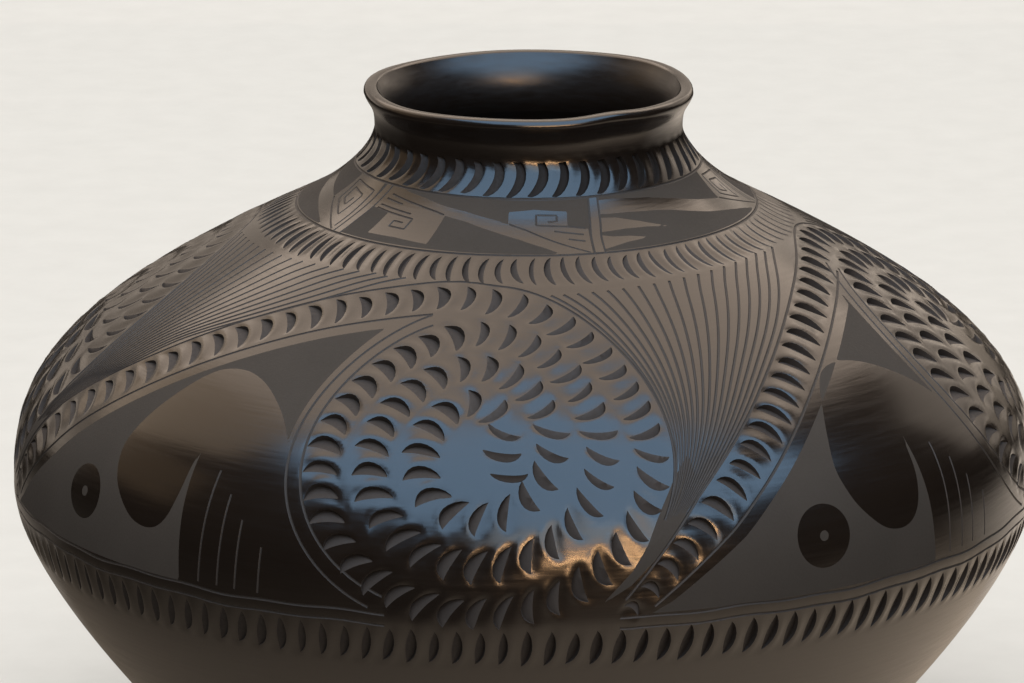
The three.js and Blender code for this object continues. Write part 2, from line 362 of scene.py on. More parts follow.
def circleArc(k, radius, start, end, pinch=0.0):  # degrees clockwise from the top of a medallion
    m = medallion
    turn = np.radians(np.linspace(start, end, m["arcSteps"]))
    middle = math.radians((start + end) / 2)
    size = radius - pinch * ((turn - middle) / math.radians(m["pinchTurn"])) ** 2
    angle = m["angle"] + sector * k + size * np.sin(turn) / degreeMm
    return np.stack([angle, medallionLength + size * np.cos(turn)], -1)


spirals = [spiralPath(k) for k in range(medallion["repeats"])]


# Gouges: a crescent tool mark, steep on its leading side, floor rising behind

toolShape = {  # rounds are powers of the share left to the tip, the rest is mm or shares of the depth
    "stations": 9, "frontRound": 0.6, "backRound": 0.8, "depthRound": 0.5, "frontLip": 0.25,
    "frontFoot": 0.15, "midDepth": 0.6, "backDepth": 0.2, "backRun": 0.9, "overrun": 1.02, "tipLift": 0.3,
    "middleFront": 21,  # the number of the point at the foot of the steep side, midway
}


def gougeTool(name, g):
    s = toolShape
    stations = np.cos(np.arange(1, s["stations"] + 1) * math.pi / (s["stations"] + 1))
    half = g["length"] / 2
    verts = []
    for t in stations:
        e = 1 - t * t
        y = (t + g["skew"] * e) * half
        front = g["tip"] + (g["front"] - g["tip"]) * e ** s["frontRound"]
        back = g["tip"] + (g["back"] - g["tip"]) * e ** s["backRound"]
        deep = g["depth"] * e ** s["depthRound"]
        section = [(front + s["frontLip"], g["lid"]), (front - s["frontFoot"], -deep),
                   ((front + back) / 2, -s["midDepth"] * deep), (back, -s["backDepth"] * deep),
                   (back - s["backRun"], g["lid"])]
        verts += [(x, y, z) for x, z in section]
    verts += [(g["tip"], half * side * s["overrun"], s["tipLift"]) for side in (1, -1)]
    n = len(section)
    faces = []
    for i in range(len(stations) - 1):
        for j in range(n):
            a, b = i * n + j, i * n + (j + 1) % n
            faces.append((a, a + n, b + n, b))
    last = (len(stations) - 1) * n
    for j in range(n):
        faces.append((len(verts) - 2, j, (j + 1) % n))
        faces.append((len(verts) - 1, last + (j + 1) % n, last + j))
    return meshObject(name, np.array(verts) * mm, faces)


pathLayers = {"forward": "FLOAT_VECTOR", "outward": "FLOAT_VECTOR", "leaning": "FLOAT", "width": "FLOAT",
              "reach": "FLOAT"}  # what each point of a path tells its tree


def startTree(name, inputs, reads):  # the tree, its named inputs and what the path tells it
    tree = bpy.data.node_groups.new(name, "GeometryNodeTree")
    tree.interface.new_socket("Geometry", in_out="INPUT", socket_type="NodeSocketGeometry")
    for label, kind in inputs.items():
        tree.interface.new_socket(label, in_out="INPUT", socket_type="NodeSocket" + kind)
    tree.interface.new_socket("Geometry", in_out="OUTPUT", socket_type="NodeSocketGeometry")
    told = {}
    for label in reads:
        node = addNode(tree, "GeometryNodeInputNamedAttribute", {"Name": label}, data_type=pathLayers[label])
        told[label] = node.outputs[0]
    return tree, addNode(tree, "NodeGroupInput").outputs, told


def closeTree(tree, shape, finish):
    real = addNode(tree, "GeometryNodeRealizeInstances", {0: shape})
    done = addNode(tree, "GeometryNodeSetMaterial", {0: real.outputs[0], "Material": finish})
    addNode(tree, "NodeGroupOutput", {0: done.outputs[0]})
    return tree


def gougeRowTree():  # one tool mark every Spacing along each path, lying on the wall
    tree, given, told = startTree("gougeRow", {
        "Tool": "Object", "Spacing": "Float", "Lean": "Float", "Turn jitter": "Float", "Size low": "Vector",
        "Size high": "Vector", "Least width": "Float", "Seed": "Int", "Finish": "Material", "Joined": "Bool"},
        pathLayers)
    curve = addNode(tree, "GeometryNodeMeshToCurve", {0: given["Geometry"]})
    points = addNode(tree, "GeometryNodeCurveToPoints",
                     {"Curve": curve.outputs[0], "Length": given["Spacing"]}, mode="LENGTH")
    axes = {"Primary Axis": told["outward"], "Secondary Axis": told["forward"]}
    lie = addNode(tree, "FunctionNodeAxesToRotation", axes, primary_axis="Z", secondary_axis="X")
    jitter = addNode(tree, "FunctionNodeRandomValue", {2: -1.0, 3: 1.0, "Seed": given["Seed"]},
                     data_type="FLOAT")
    lean = addNode(tree, "ShaderNodeMath", {0: told["leaning"], 1: given["Lean"]}, operation="ADD")
    swing = addNode(tree, "ShaderNodeMath",
                    {0: jitter.outputs[1], 1: given["Turn jitter"], 2: lean.outputs[0]},
                    operation="MULTIPLY_ADD")
    twist = addNode(tree, "ShaderNodeCombineXYZ", {"Z": swing.outputs[0]})
    twistTurn = addNode(tree, "FunctionNodeEulerToRotation", {0: twist.outputs[0]})
    turned = addNode(tree, "FunctionNodeRotateRotation", {0: lie.outputs[0], 1: twistTurn.outputs[0]},
                     rotation_space="LOCAL")
    sizes = {0: given["Size low"], 1: given["Size high"], "Seed": given["Seed"]}
    vary = addNode(tree, "FunctionNodeRandomValue", sizes, data_type="FLOAT_VECTOR")
    used = addNode(tree, "FunctionNodeCompare", {0: told["width"], 1: given["Least width"]},
                   data_type="FLOAT")
    narrow = addNode(tree, "ShaderNodeCombineXYZ",
                     {"X": told["width"], "Y": told["reach"], "Z": told["reach"]})
    scale = addNode(tree, "ShaderNodeVectorMath", {0: vary.outputs[0], 1: narrow.outputs[0]},
                    operation="MULTIPLY")
    tool = addNode(tree, "GeometryNodeObjectInfo", {"Object": given["Tool"]})
    marks = addNode(tree, "GeometryNodeInstanceOnPoints", {
        "Points": points.outputs[0], "Selection": used.outputs[0], "Instance": tool.outputs["Geometry"],
        "Rotation": turned.outputs[0], "Scale": scale.outputs[0]})
    union = addNode(tree, "GeometryNodeMeshBoolean", {1: marks.outputs[0]}, operation="UNION",
                    solver="MANIFOLD")
    chosen = addNode(tree, "GeometryNodeSwitch",
                     {0: given["Joined"], 1: marks.outputs[0], 2: union.outputs[0]})
    return closeTree(tree, chosen.outputs[0], given["Finish"])


def incisedLineTree():  # a round stylus drawn along each path
    tree, given, told = startTree(
        "incisedLine", {"Step": "Float", "Radius": "Float", "Sides": "Int", "Finish": "Material"}, ["reach"])
    curve = addNode(tree, "GeometryNodeMeshToCurve", {0: given["Geometry"]})
    even = addNode(tree, "GeometryNodeResampleCurve", {"Curve": curve.outputs[0], "Length": given["Step"]},
                   mode="LENGTH")
    stylus = addNode(tree, "GeometryNodeCurvePrimitiveCircle",
                     {"Resolution": given["Sides"], "Radius": given["Radius"]}, mode="RADIUS")
    tube = addNode(tree, "GeometryNodeCurveToMesh", {
        "Curve": even.outputs[0], "Profile Curve": stylus.outputs[0], "Scale": told["reach"],
        "Fill Caps": True})
    return closeTree(tree, tube.outputs[0], given["Finish"])


def runTree(obj, tree, values):
    modifier = obj.modifiers.new(tree.name, "NODES")
    modifier.node_group = tree
    for item in tree.interface.items_tree:
        if item.in_out == "INPUT" and item.name in values:
            modifier[item.identifier] = values[item.name]
    plainResult(obj)


def pathObject(name, paths, shaping=None, closed=False, lift=0.0, ground=None):
    verts, edges = [], []
    layers = {label: [] for label in pathLayers}
    for number, path in enumerate(paths):
        first = sum(len(v) for v in verts)
        lean, width, reach = shaping[number] if shaping else (0.0, 1.0, 1.0)
        angle, length = path.T
        height = lift * reach + (0.0 if ground is None else ground(angle, length))
        verts.append(wallPoint(angle, length, height) * mm)
        edges += [(first + i, first + i + 1) for i in range(len(path) - 1)]
        if closed:
            edges.append((first + len(path) - 1, first))
        around, upward, out = wallFrame(angle, length)
        r = radiusAt(length)
        way = np.gradient(path, axis=0)
        go = around * (np.radians(way[:, 0]) * r)[:, None] + upward * way[:, 1:]
        go /= np.linalg.norm(go, axis=1)[:, None]
        for label, row in zip(pathLayers, (go, out, lean + 0 * r, width + 0 * r, reach + 0 * r)):
            layers[label].append(row)
    obj = meshObject(name, np.vstack(verts), edges=edges)
    for label, kind in pathLayers.items():
        layer = obj.data.attributes.new(label, kind, "POINT")
        field = "vector" if kind == "FLOAT_VECTOR" else "value"
        layer.data.foreach_set(field, np.concatenate(layers[label]).astype(np.float32).ravel())
    return obj


handRing = {"points": 720, "drift": [(3, 0.4, 0.6), (7, 1.9, 0.4)]}  # a ring drawn by hand isn't quite level


def ringPath(length, wave=0.0, backwards=False):
    angle = np.linspace(-180, 180, handRing["points"], endpoint=False)
    if backwards:
        angle = angle[::-1]
    drift = wave * waves(np.radians(angle), handRing["drift"], np.sin)
    return np.stack([angle, length + drift], -1)


gougeRows = {  # mm; a row without a ring follows the four ribs and spirals
    "spiralGouges": {
        "length": 10.8, "front": 2.3, "back": -1.3, "tip": -2.2, "skew": 0.18, "depth": 1.9, "lid": 0.9,
        "spacing": 7.4, "lean": 0.0, "turnJitter": 0.12, "sizeLow": (0.88, 0.9, 0.88),
        "sizeHigh": (1.14, 1.05, 1.12), "seed": 11, "swell": 0.22, "dip": 0.42, "finish": "gouged"},
    # the neck and belly rings take the darker cut colours, painted shade for their shadowed marks
    "neckGouges": {
        "length": 11.6, "front": 2.0, "back": -0.7, "tip": -2.2, "skew": 0.1, "depth": 1.4, "lid": 0.6,
        "spacing": 6.3, "lean": -0.2, "turnJitter": 0.07, "sizeLow": (0.88, 0.94, 0.9),
        "sizeHigh": (1.1, 1.04, 1.1), "seed": 12, "swell": 0.14, "dip": 0.2, "finish": "paintedShadeDeepCut",
        "ring": (302.7,)},
    "shoulderGouges": {
        "length": 11.8, "front": 1.4, "back": -0.5, "tip": -1.3, "skew": 0.0, "depth": 1.2, "lid": 0.7,
        "spacing": 4.7, "lean": 0.1, "turnJitter": 0.12, "sizeLow": (0.8, 0.9, 0.85),
        "sizeHigh": (1.15, 1.06, 1.15), "seed": 13, "swell": 0.18, "dip": 0.36, "finish": "gouged",
        "ring": (268.9, 0.2, True)},
    "bellyGouges": {
        "length": 12.2, "front": 1.8, "back": -1.2, "tip": -0.9, "skew": 0.0, "depth": 1.5, "lid": 0.6,
        "spacing": 6.4, "lean": -0.2, "turnJitter": 0.08, "sizeLow": (0.86, 0.92, 0.88),
        "sizeHigh": (1.12, 1.05, 1.1), "seed": 14, "swell": 0.26, "dip": 0.4, "finish": "paintedShadeDeepCut",
        "ring": (142.7, 0.4)},
}
leastWidth = 0.3  # a mark narrower than this share is left out
gougeTree = gougeRowTree()
lineTree = incisedLineTree()
cutters = {}
gougeFrames = []
for name, g in gougeRows.items():
    tool = gougeTool(name + "Tool", g)
    ring = g.get("ring")
    paths = [ringPath(*ring)] if ring else [spiral[0] for spiral in spirals]
    shaping = None if ring else [spiral[2:] for spiral in spirals]
    for joined in (False, True):  # single marks for the clay that they push, then joined ones to cut with
        row = pathObject(name, paths, shaping, closed=bool(ring))
        runTree(row, gougeTree, {
            "Tool": tool, "Spacing": g["spacing"] * mm, "Lean": g["lean"], "Turn jitter": g["turnJitter"],
            "Size low": g["sizeLow"], "Size high": g["sizeHigh"], "Least width": leastWidth,
            "Seed": g["seed"], "Finish": finishes[g["finish"]], "Joined": joined})
        if joined:
            cutters[name] = row
        else:
            spots = readAll(row.data.vertices, "co", 3).astype(float)
            gougeFrames.append((g, spots.reshape(-1, len(tool.data.vertices), 3) / mm))
            discard(row)
    discard(tool)
    print(name, "marks:", len(gougeFrames[-1][1]), "faces:", len(cutters[name].data.polygons))


# Skin of the whole vessel: rows up the outside, over the lip and down the inside

rowStep = {"base_slab": 3.0, "wall_coil_1": 4.0, "wall_coil_2": 3.0, "wall_coil_3": 0.95, "wall_coil_4": 0.9,
           "wall_coil_5": 1.0, "wall_coil_6": 0.92, "neck_coil": 0.7, "lip_coil": 0.8}
courses = list(rowStep)
liningStep = dict.fromkeys(courses, 8.0) | {"neck_coil": 2.5, "lip_coil": 1.5}
coilRise = (shoulderLength - vessel["slabRise"]) / vessel["wallCoils"]
coilSeams = [vessel["slabRise"] + coilRise * i for i in range(vessel["wallCoils"] + 1)]
seams = [vessel["footEdge"], *coilSeams, waistLength, lipLength]
columns = np.linspace(-180, 180, vessel["columns"], endpoint=False)


def layRows(spans, steps):  # the lengths of all rows, and the first and last row of each course
    rows, ends = [], {}
    for name, start, end in spans:
        count = max(2, round(abs(end - start) / steps[name]))
        first = max(len(rows) - 1, 0)
        rows += list(np.linspace(start, end, count + 1)[1 if rows else 0:])
        ends[name] = (first, len(rows) - 1)
    return np.array(rows), ends


outerRows, outerSpan = layRows(zip(courses, seams[:-1], seams[1:]), rowStep)
liningSeams = [0.0, *(seam - vessel["seamSlant"] for seam in seams[1:-1]), lipLength]
liningSpans = zip(courses[::-1], liningSeams[:0:-1], liningSeams[-2::-1])
innerRows, innerSpan = layRows(liningSpans, liningStep)

pushedClay = {"reach": 1.3, "margin": 4.0, "span": 1.15, "fade": 0.8, "swellAhead": 0.7, "swellWidth": 1.2,
              "dipAhead": 0.5, "dipWidth": 2.3}


def turnBetween(angle, start):  # degrees, from -180 to 180
    return (angle - start + 180) % 360 - 180


def reliefGrid():  # clay pushed up ahead of each mark and worn down behind it
    p = pushedClay
    grid = np.zeros((len(outerRows), len(columns)))
    rowRadius = radiusAt(outerRows)
    for g, spots in gougeFrames:
        half = g["length"] / 2
        for spot in spots:
            tipA, tipB = spot[-1], spot[-2]
            centre = (tipA + tipB) / 2
            angle = math.degrees(math.atan2(centre[0], -centre[1]))
            length = np.interp(centre[2], outline[:, 1], outlineLength)
            around, upward, out = wallFrame(angle, length)
            across = (tipB - tipA) / np.linalg.norm(tipB - tipA)
            size = np.linalg.norm(tipB - tipA) / (toolShape["overrun"] * g["length"])
            ahead = np.cross(across, out)
            foot = (spot[toolShape["middleFront"]] - centre).dot(ahead)
            wide = foot / (g["front"] - toolShape["frontFoot"] - g["tip"])
            reach = half * p["reach"] * size + p["margin"]
            rows = np.flatnonzero(abs(outerRows - length) < reach)
            if not len(rows):
                continue
            spread = math.degrees(reach / rowRadius[rows].min())
            near = np.flatnonzero(abs(turnBetween(columns, angle)) < spread)
            dx = np.radians(turnBetween(columns[near], angle))[None, :] * rowRadius[rows][:, None]
            dy = (outerRows[rows] - length)[:, None] + 0 * dx
            x = dx * ahead.dot(around) + dy * ahead.dot(upward) + g["tip"] * wide
            y = dx * across.dot(around) + dy * across.dot(upward)
            t = np.clip(1 - (y / (half * p["span"] * size)) ** 2, 0, 1)
            front = (g["tip"] + (g["front"] - g["tip"]) * t ** toolShape["frontRound"]) * wide
            back = (g["tip"] + (g["back"] - g["tip"]) * t ** toolShape["backRound"]) * wide
            push = g["swell"] * np.exp(-((x - front - p["swellAhead"]) / p["swellWidth"]) ** 2)
            wear = g["dip"] * np.exp(-((x - back - p["dipAhead"]) / p["dipWidth"]) ** 2)
            grid[np.ix_(rows, near)] += t ** p["fade"] * (push - wear)
    return grid


relief = reliefGrid()
print("relief from", round(relief.min(), 2), "to", round(relief.max(), 2), "mm on", relief.shape)


def gridSample(grid, angle, length):  # between the skin's rows and columns
    lastRow = len(outerRows) - 1.001  # so that a row above is always there
    row = np.clip(np.interp(length, outerRows, np.arange(len(outerRows))), 0, lastRow)
    column = (np.asarray(angle) + 180) / 360 * len(columns)
    i, j = np.floor(row).astype(int), np.floor(column).astype(int)
    u, v = row - i, column - j
    if grid.ndim == 3:
        u, v = u[:, None], v[:, None]
    j0, j1 = j % len(columns), (j + 1) % len(columns)
    return ((grid[i, j0] * (1 - v) + grid[i, j1] * v) * (1 - u)
            + (grid[i + 1, j0] * (1 - v) + grid[i + 1, j1] * v) * u)


def reliefAt(angle, length):
    return gridSample(relief, angle, length)


def wallThickness(length):
    share = np.clip((length - shoulderLength) / (lipLength - shoulderLength), 0, 1)
    return vessel["bodyWall"] + (vessel["lipThickness"] - vessel["bodyWall"]) * share


def insidePoint(angle, length):
    r, z, tr, tz = outlineAt(length)
    thick = wallThickness(length)
    inner = np.maximum(r - thick * tz, 0.0)
    level = np.maximum(z + thick * tr, vessel["floorThickness"])
    return handBuilt(inner, level, angle, length)


def crownPoint(angle, turn):  # over the rounded lip, turn from outside 0 to inside pi
    radius = vessel["lipThickness"] / 2
    sideRound, topRound = vessel["lipRound"]
    r = vessel["lipRadius"] + radius * np.sign(np.cos(turn)) * abs(np.cos(turn)) ** sideRound
    z = lipTop - radius + radius * abs(np.sin(turn)) ** topRound
    return handBuilt(r, z, angle, lipLength + 0 * turn)


def gridNormals(grid):
    around = np.roll(grid, -1, axis=1) - np.roll(grid, 1, axis=1)
    upward = np.gradient(grid, axis=0)
    out = np.cross(around, upward)
    return out / np.linalg.norm(out, axis=2)[:, :, None]


outerGrid = wallPoint(columns[None, :], outerRows[:, None], relief)
crownTurns = np.linspace(0, math.pi, vessel["crownSteps"])[1:-1]
crownGrid = crownPoint(*np.meshgrid(columns, crownTurns))
innerGrid = insidePoint(*np.meshgrid(columns, innerRows))
outerNormals = gridNormals(np.concatenate([outerGrid, crownGrid, innerGrid]))[:len(outerRows)]


# The key fret round the neck, in panels of polished shapes on a matte ground

fret = {  # places in a panel are degrees from its left and mm above low
    "low": 276.4, "high": 296.3, "margin": 2.0, "panel": 72.0, "start": -54.0, "step": 0.6,
    "lineSteps": 10, "edgeSteps": 6,
    "order": ["key", "spike", "key", "key", "spike"],
    "stripeLeft": [(1.2, 20), (-0.2, 12), (-1.2, 6), (-1.6, -0.4)],
    "stripeRight": [(4.3, 20), (2.7, 11), (1.6, 6), (1.1, -0.4)],
    "keyShapes": [
        [(4.3, 20), (9, 19.7), (19, 18.4), (27, 16.6), (35, 15.3), (45, 12.8), (53.3, 9.6), (61.7, 4.5),
         (69.7, -0.5), (62.7, -0.5), (59, 2.2), (51.7, 6), (45, 8.6), (36, 11.8), (29, 13.2), (28, 1.9),
         (18.5, 2.8), (9.2, 2.6), (10, 11.2), (3, 12)],
        [(48, 15.9), (55.7, 16.8), (65.5, 15.9), (65, 10.6), (70.7, 9.4), (70.3, 4.5), (70, -0.5),
         (61.7, 4.5), (53.3, 9.6), (48.3, 11.8)],
    ],
    "keyLines": [
        [(6.7, 17.4), (12.3, 16.5), (19, 15.5), (25.7, 14.2), (28.6, 13.4)],
        [(5.7, 15.7), (13, 14.8)],
        [(5, 13.3), (18, 12.1)],
        [(4.7, 12.0), (10, 11.4), (19.5, 10.5), (19, 6.4), (13.8, 6.6), (14, 8.8), (17.3, 8.6)],
        [(48.6, 11.6), (53.3, 9.6), (61.7, 4.5), (69.4, 0.0)],
        [(70, 9.6), (65, 10.6), (56.2, 11.3), (56.2, 14.9), (62.3, 14.7), (62.2, 12.6), (59.5, 12.4)],
        [(61.2, 9.0), (69, 7.3)],
        [(64.7, 5.8), (69, 4.7)],
    ],
    "spikeShapes": [
        [(2.6, 18.9), (10, 18.9), (22, 17.6), (32, 15.3), (42, 12.4), (53, 9.6), (61, 5.2), (69.5, -0.5),
         (65, -0.6), (57.7, 2.6), (51, 4.8), (42, 7.2), (29, 11.5), (23, 12.8), (13, 13.8), (2.4, 14.2)],
        [(2.3, 13), (8, 12.5), (14.7, 10.2), (23.3, 6.4), (16.3, 7.7), (9.7, 8.1), (1.8, 7.7)],
        [(1.6, 6.6), (5, 5.6), (9.7, 5.2), (15, 3.7), (8, 2.9), (1, 0.8)],
        [(55.7, 19.6), (73.2, 20), (71.8, 12), (70.8, 6), (70.4, -0.5), (69.5, -0.5), (61, 5.2), (53, 9.8),
         (53.3, 11.6)],
    ],
    "spikeLines": [
        [(68.7, 1.4), (69.7, 16.7), (57.3, 18), (56.7, 10.4), (64.8, 5.4), (66.2, 14.2), (59.2, 15.5),
         (59.2, 11.1), (62.7, 9.2), (63.4, 12.4)],
        [(53.4, 9.6), (61, 5.2), (69, 0.0)],
    ],
}


def fretLines():
    keys, edges = [], []
    for number, kind in enumerate(fret["order"]):
        base = np.array([fret["start"] + number * fret["panel"], fret["low"]])
        for line in fret[kind + "Lines"]:
            corners = np.array(line, float)
            run = runLength(corners)
            share = np.unique(np.concatenate([run, np.arange(0, run[-1], fret["step"])]))
            keys.append(base + np.stack([np.interp(share, run, corners[:, i]) for i in (0, 1)], -1))
        edges += [base + smoothPath(fret[side], fret["lineSteps"]) for side in ("stripeLeft", "stripeRight")]
    return keys, edges


# Matte fields scraped through the polish, by distance inside their edges

fields = {  # places are degrees from the medallion's angle and mm up the wall, an eye also has its radius
    "angle": -5.5, "zone": (152.0, 252.0), "depth": 5.0, "domeSteps": 6,
    "dome": [(-23.1, 195), (-24.7, 201.6), (-27.1, 208.2), (-31, 215), (-35.3, 218.4), (-39.3, 217.4),
             (-41.9, 213), (-44.3, 204.4), (-46.1, 195.2), (-47, 186), (-46.2, 178), (-44.7, 172.4),
             (-42.3, 167.2), (-40, 165.5), (-38, 166.5), (-36.5, 170.5), (-35.5, 178), (-35.1, 186),
             (-34.7, 190.5)],
    "spurFoot": (-34.2, 153.0), "fieldTip": (-71.2, 152.9), "tipRise": 2.0, "window": -71.6, "edgeGap": -10.8,
    "borderGap": 61.4, "borderTurn": (322, 268), "borderPinch": 2.0, "borderOverlap": 1.0, "borderShift": 0.5,
    "eyes": [(-51.2, 169.3, 7.8), (-50.7, 168.4, 8.9), (-51.5, 169.0, 8.3), (-50.9, 169.6, 8.0)],
    "eyeDot": 1.5,
    "wedge": [(24.9, 197), (22.6, 190), (20.9, 183), (19.8, 178), (18.7, 172), (16.9, 165), (13.6, 156.2),
              (16.7, 161), (19.2, 167.2), (21.8, 174.4), (23.2, 179.4), (25.3, 186.5)],
}


def insideDistance(x, y, ring, scale):  # mm, positive inside the ring
    ring = np.asarray(ring, float)
    inside = np.zeros(len(x), bool)
    best = np.full(len(x), 1e9)
    for (ax, ay), (bx, by) in zip(ring, np.roll(ring, -1, axis=0)):
        px, py, qx, qy = (x - ax) * scale, y - ay, (bx - ax) * scale, by - ay
        share = np.clip((px * qx + py * qy) / (qx * qx + qy * qy + 1e-12), 0, 1)
        best = np.minimum(best, np.hypot(px - share * qx, py - share * qy))
        crossing = (ay > y) != (by > y)
        slope = (bx - ax) / (by - ay) if by != ay else 0.0
        inside ^= crossing & (x < ax + (y - ay) * slope)
    return np.where(inside, best, -best)


def fieldRing(k):  # under the rib, down the medallion's border, round the dome and along the belly
    f = fields
    path, start = spirals[k][:2]
    upper = sideStep(path, f["edgeGap"] * ribTaper(path))[:start] - (f["angle"] + sector * k, 0)
    upper = upper[upper[:, 1] > f["fieldTip"][1] + f["tipRise"]]
    border = circleArc(0, f["borderGap"], *f["borderTurn"], f["borderPinch"]) - (f["angle"], 0)
    away = np.hypot((upper[:, 0] + f["borderShift"]) * degreeMm, upper[:, 1] - medallionLength)
    upper = upper[away > f["borderGap"] - f["borderOverlap"]]
    return np.vstack([f["fieldTip"], upper, border, smoothPath(f["dome"], f["domeSteps"]), f["spurFoot"]])


def scrapedDistance(angle, length):  # the fields with their eyes, and the wedges
    f = fields
    scale = np.radians(radiusAt(length))
    turned = (angle - f["angle"] - f["window"]) % sector + f["window"]
    quarter = np.round((angle - f["angle"] - turned) / sector).astype(int) % medallion["repeats"]
    matte = np.full(len(angle), -f["depth"])
    for k, (eyeTurn, eyeLength, eyeRadius) in enumerate(f["eyes"]):
        pick = quarter == k
        x, y, s = turned[pick], length[pick], scale[pick]
        away = np.hypot((x - eyeTurn) * s, y - eyeLength)
        field = np.minimum(insideDistance(x, y, fieldRing(k), s), away - eyeRadius)
        matte[pick] = np.maximum(field, f["eyeDot"] - away)
    beside = (angle - f["angle"] + sector / 2) % sector - sector / 2
    return np.maximum(matte, insideDistance(beside, length, f["wedge"], scale))


def fretDistance(angle, length):  # the matte ground between the fret's polished shapes
    scale = np.radians(radiusAt(length))
    band = np.minimum(length - fret["low"], fret["high"] - length)
    number = np.floor((angle - fret["start"]) / fret["panel"]).astype(int)
    x = angle - fret["start"] - number * fret["panel"]
    y = length - fret["low"]
    order = np.array(fret["order"])[number % len(fret["order"])]
    for kind in ("key", "spike"):
        for ring in fret[kind + "Shapes"]:
            shape = insideDistance(x, y, ring, scale)
            band = np.where(order == kind, np.minimum(band, -shape), band)
    left, right = (smoothPath(fret[side], fret["edgeSteps"]) for side in ("stripeLeft", "stripeRight"))
    stripe = np.vstack([left, right[::-1]])
    for turn in (0, fret["panel"]):
        band = np.minimum(band, -insideDistance(x - turn, y, stripe, scale))
    return band


def matteGrid():  # mm inside the matte ground, negative on the polish
    angle, length = np.meshgrid(columns, outerRows)
    grid = np.full(length.shape, -fields["depth"])
    fretZone = (fret["low"] - fret["margin"], fret["high"] + fret["margin"])
    for (low, high), distance in ((fields["zone"], scrapedDistance), (fretZone, fretDistance)):
        zone = (length > low) & (length < high)
        grid[zone] = np.maximum(grid[zone], distance(angle[zone], length[zone]))
    return np.clip(grid, -fields["depth"], fields["depth"])


matte = matteGrid()
print("matte ground on", round(100 * (matte > 0).mean(), 1), "% of the outside's grid")

offSkin = -0.5  # takes the place of mm up the wall on faces that aren't the carved outside


def courseObject(name):  # one closed ring of clay, its own outside, seam faces and inside
    o0, o1 = outerSpan[name]
    i0, i1 = innerSpan[name]
    lining = "wiped" if name in ("lip_coil", "neck_coil") else "interior"
    rows = [(outerGrid[i], outerRows[i], "burnished") for i in range(o0, o1 + 1)]
    if name == "lip_coil":
        rows += [(line, offSkin, "burnished") for line in crownGrid]
    rows += [(innerGrid[i], offSkin, lining) for i in range(i0, i1 + 1)]
    points = np.vstack([row[0] for row in rows])
    n, count = len(columns), len(rows)
    faces, uvs, kinds = [], [], []
    crossing, extra = {}, []  # points where the edge of a scraped field meets a grid line

    def addFace(corners, kind):  # a corner is its point, its share round and its mm up the wall
        faces.append([corner[0] for corner in corners])
        uvs.extend([corner[1:3] for corner in corners])
        kinds.append(finishSlot[kind])

    def band(a, b, kind):  # between two rows, off the carved outside
        for j in range(n):
            k = (j + 1) % n
            ring = []
            for p, q in ((a * n + j, a * n + k), (b * n + k, b * n + j)):
                between = crossing.get(frozenset((p, q)))
                ring += [p, q] if between is None else [p, between, q]
            addFace([(point, 0.0, offSkin) for point in ring], kind)

    def parted(corners):  # a triangle that is scraped, or is in two pieces on the edge of the scraping
        sides = ([], [])
        for p, q in zip(corners, corners[1:] + corners[:1]):
            sides[p[3] > 0].append(p)
            if (p[3] > 0) != (q[3] > 0):
                key = frozenset((p[0], q[0]))
                share = p[3] / (p[3] - q[3])
                if key not in crossing:
                    crossing[key] = count * n + len(extra)
                    extra.append(points[p[0]] * (1 - share) + points[q[0]] * share)
                cut = (crossing[key], p[1] + (q[1] - p[1]) * share, p[2] + (q[2] - p[2]) * share)
                for side in sides:
                    side.append(cut)
        for kind, ring in zip(("burnished", "scraped"), sides):
            if len(ring) > 2:
                addFace(ring, kind)

    def skinBand(i):
        lower, upper = matte[o0 + i], matte[o0 + i + 1]
        low, high = rows[i][1], rows[i + 1][1]
        for j in range(n):
            k = (j + 1) % n
            ring = [(i * n + j, j / n, low, lower[j]), (i * n + k, (j + 1) / n, low, lower[k]),
                    ((i + 1) * n + k, (j + 1) / n, high, upper[k]), ((i + 1) * n + j, j / n, high, upper[j])]
            if any(corner[3] > 0 for corner in ring):
                parted(ring[:3])
                parted([ring[0], *ring[2:]])
            else:
                addFace(ring, "burnished")

    for i in range(count - 1):
        if i < o1 - o0:
            skinBand(i)
        else:
            band(i, i + 1, rows[i][2] if rows[i][2] == rows[i + 1][2] else "interior")
    if extra:
        points = np.vstack([points, extra])
    if name == "base_slab":  # the standing foot, then the floor inside
        a = np.radians(columns)
        for radius in vessel["footRings"]:
            points = np.vstack([points, np.stack([radius * np.sin(a), -radius * np.cos(a), 0 * a], -1)])
        band(count, 0, "standing")
        band(count + 1, count, "standing")
        poles = len(points)
        points = np.vstack([points, [(0, 0, 0.0), (0, 0, vessel["floorThickness"])]])
        for j in range(n):
            k = (j + 1) % n
            foot = (poles, (count + 1) * n + k, (count + 1) * n + j)
            floor = (poles + 1, (count - 1) * n + j, (count - 1) * n + k)
            addFace([(point, 0.0, offSkin) for point in foot], "standing")
            addFace([(point, 0.0, offSkin) for point in floor], "interior")
    else:
        band(count - 1, 0, "interior")
    obj = meshObject(name + "_clay", points * mm, faces, materials=finishes.values())
    obj.data.polygons.foreach_set("material_index", np.array(kinds, np.int32))
    layer = obj.data.uv_layers.new(name="lay")
    layer.data.foreach_set("uv", np.array(uvs, np.float32).ravel())
    return obj


# Incised lines

